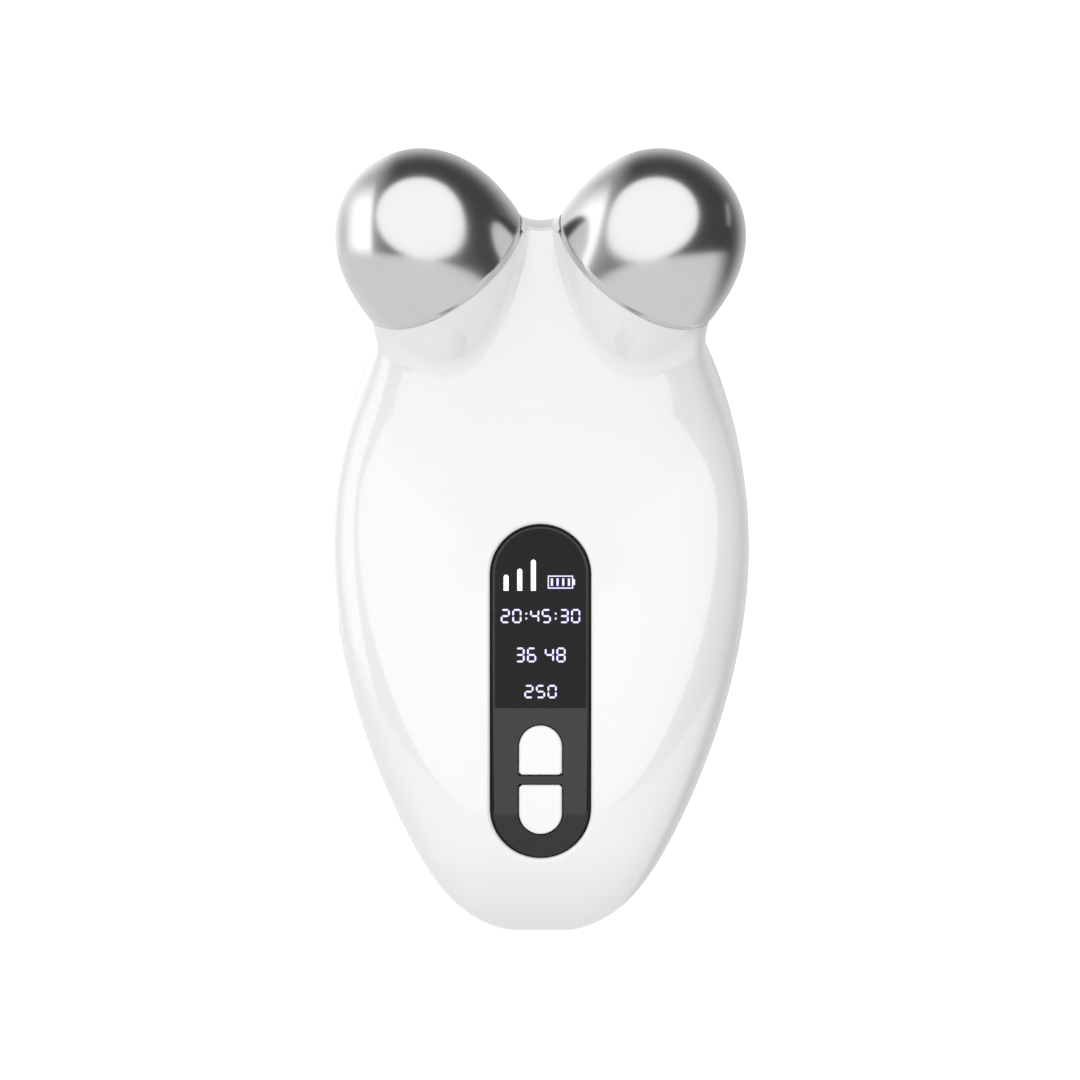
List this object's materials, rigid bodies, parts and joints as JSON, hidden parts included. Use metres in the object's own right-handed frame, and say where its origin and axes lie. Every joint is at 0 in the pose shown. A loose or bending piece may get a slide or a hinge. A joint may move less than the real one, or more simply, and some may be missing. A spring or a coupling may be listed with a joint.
{
  "type": "facial toning device",
  "caption": "Palm-sized massager with a drop-shaped two-shell housing, a dark display panel with push buttons, and splayed plated rollers on a forward-leaning head.",
  "frame": {"origin": "centre of the flat on the back that the object lies on, under the widest section of the housing", "axes": "+X across the housing, +Y along it from the tail to the rollers, +Z out of the display side"},
  "size_m": [0.0574, 0.1078, 0.0455],
  "materials": {
    "shell_white": "gloss",
    "plug_white": "satin",
    "cover_black": "polished",
    "tape_grey": "matte",
    "display_glass": "polished",
    "holder_dark": "matte",
    "flex_amber": "satin",
    "connector_ivory": "satin",
    "button_white": "satin",
    "switch_grey": "matte",
    "board_green": "satin",
    "chip_black": "matte",
    "copper_coil": "satin",
    "capacitor_can": "satin",
    "cell_foil": "satin",
    "foam_black": "matte",
    "lead_red": "satin",
    "lead_black": "satin",
    "lead_orange": "satin",
    "lead_yellow": "satin",
    "steel": "satin",
    "bronze": "satin",
    "seal_rubber": "matte",
    "yoke_natural": "satin",
    "roller_plate": "polished",
    "core_metal": "satin"
  },
  "bodies": {
    "housing": {"front_shell": "shell_white", "rear_shell": "shell_white", "housing_screws": "steel", "screw_plugs": "plug_white", "panel_cover": "cover_black", "cover_tape": "tape_grey", "display_panel": "display_glass", "display_holder": "holder_dark", "display_flex": "flex_amber", "flex_connector": "connector_ivory", "upper_switch": "switch_grey", "lower_switch": "switch_grey", "main_board": "board_green", "board_screws": "steel", "microcontroller": "chip_black", "boost_transformer": "copper_coil", "capacitors": "capacitor_can", "battery_connector": "connector_ivory", "battery_cell": "cell_foil", "battery_pads": "foam_black", "battery_leads": "lead_red", "charge_board": "board_green", "charge_board_screws": "steel", "charge_leads": "lead_black", "socket_shell": "steel", "socket_tongue": "chip_black", "axle_yoke": "yoke_natural", "yoke_screws": "steel", "left_axle": "steel", "left_axle_seal": "seal_rubber", "left_contact_washer": "bronze", "left_retaining_clip": "steel", "left_axle_nut": "steel", "left_lead_terminal": "bronze", "left_electrode_lead": "lead_orange", "right_axle": "steel", "right_axle_seal": "seal_rubber", "right_contact_washer": "bronze", "right_retaining_clip": "steel", "right_axle_nut": "steel", "right_lead_terminal": "bronze", "right_electrode_lead": "lead_yellow"},
    "left_roller": {"left_roller_shell": "roller_plate", "left_roller_core": "core_metal", "left_inner_bush": "bronze", "left_outer_bush": "bronze"},
    "right_roller": {"right_roller_shell": "roller_plate", "right_roller_core": "core_metal", "right_inner_bush": "bronze", "right_outer_bush": "bronze"},
    "upper_button": {"upper_button": "button_white"},
    "lower_button": {"lower_button": "button_white"}
  },
  "joints": [
    {"name": "left_roller_spin", "type": "hinge", "parent": "housing", "child": "left_roller", "pos_m": [-0.013, 0.03854, 0.0308], "axis": [-0.5358, 0.7214, 0.4386], "continuous": true},
    {"name": "right_roller_spin", "type": "hinge", "parent": "housing", "child": "right_roller", "pos_m": [0.013, 0.03854, 0.0308], "axis": [0.5358, 0.7214, 0.4386], "continuous": true},
    {"name": "upper_button_press", "type": "slide", "parent": "housing", "child": "upper_button", "axis": [0, 0, -1], "range_m": [0, 0.00035], "stiffness_N_per_m": 1500},
    {"name": "lower_button_press", "type": "slide", "parent": "housing", "child": "lower_button", "axis": [0, 0, -1], "range_m": [0, 0.00035], "stiffness_N_per_m": 1500}
  ]
}
